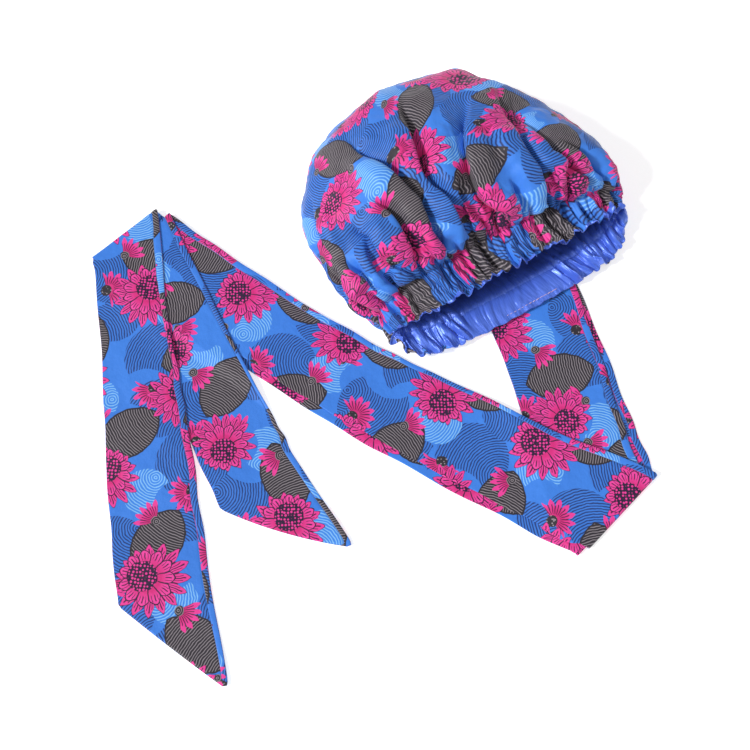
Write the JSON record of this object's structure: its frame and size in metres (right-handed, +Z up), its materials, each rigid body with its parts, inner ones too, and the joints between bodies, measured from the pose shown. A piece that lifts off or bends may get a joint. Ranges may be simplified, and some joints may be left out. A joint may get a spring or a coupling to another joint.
{
  "type": "satin-lined bonnet with a long tie band, laid flat",
  "caption": "Double-layer hair bonnet lying on its back: printed blue and pink outer cap, blue satin lining, gathered elastic mouth and a long printed tie band folded in a zigzag.",
  "frame": {"origin": "middle of the bounding box on the surface that the bonnet and its tie lie on", "axes": "+X to the right and +Y to the back of the laid-out object as seen from above, +Z up"},
  "size_m": [0.5212, 0.575, 0.0932],
  "materials": {
    "print_cloth": "matte printed plain weave, cobalt ground with pink, plum and charcoal figures",
    "satin": "glossy satin"
  },
  "bodies": {
    "root": {"print_cap": "print_cloth", "satin_lining": "satin", "elastic_casing": "print_cloth", "tie_strap_long": "print_cloth", "tie_strap_short": "print_cloth"}
  },
  "joints": []
}
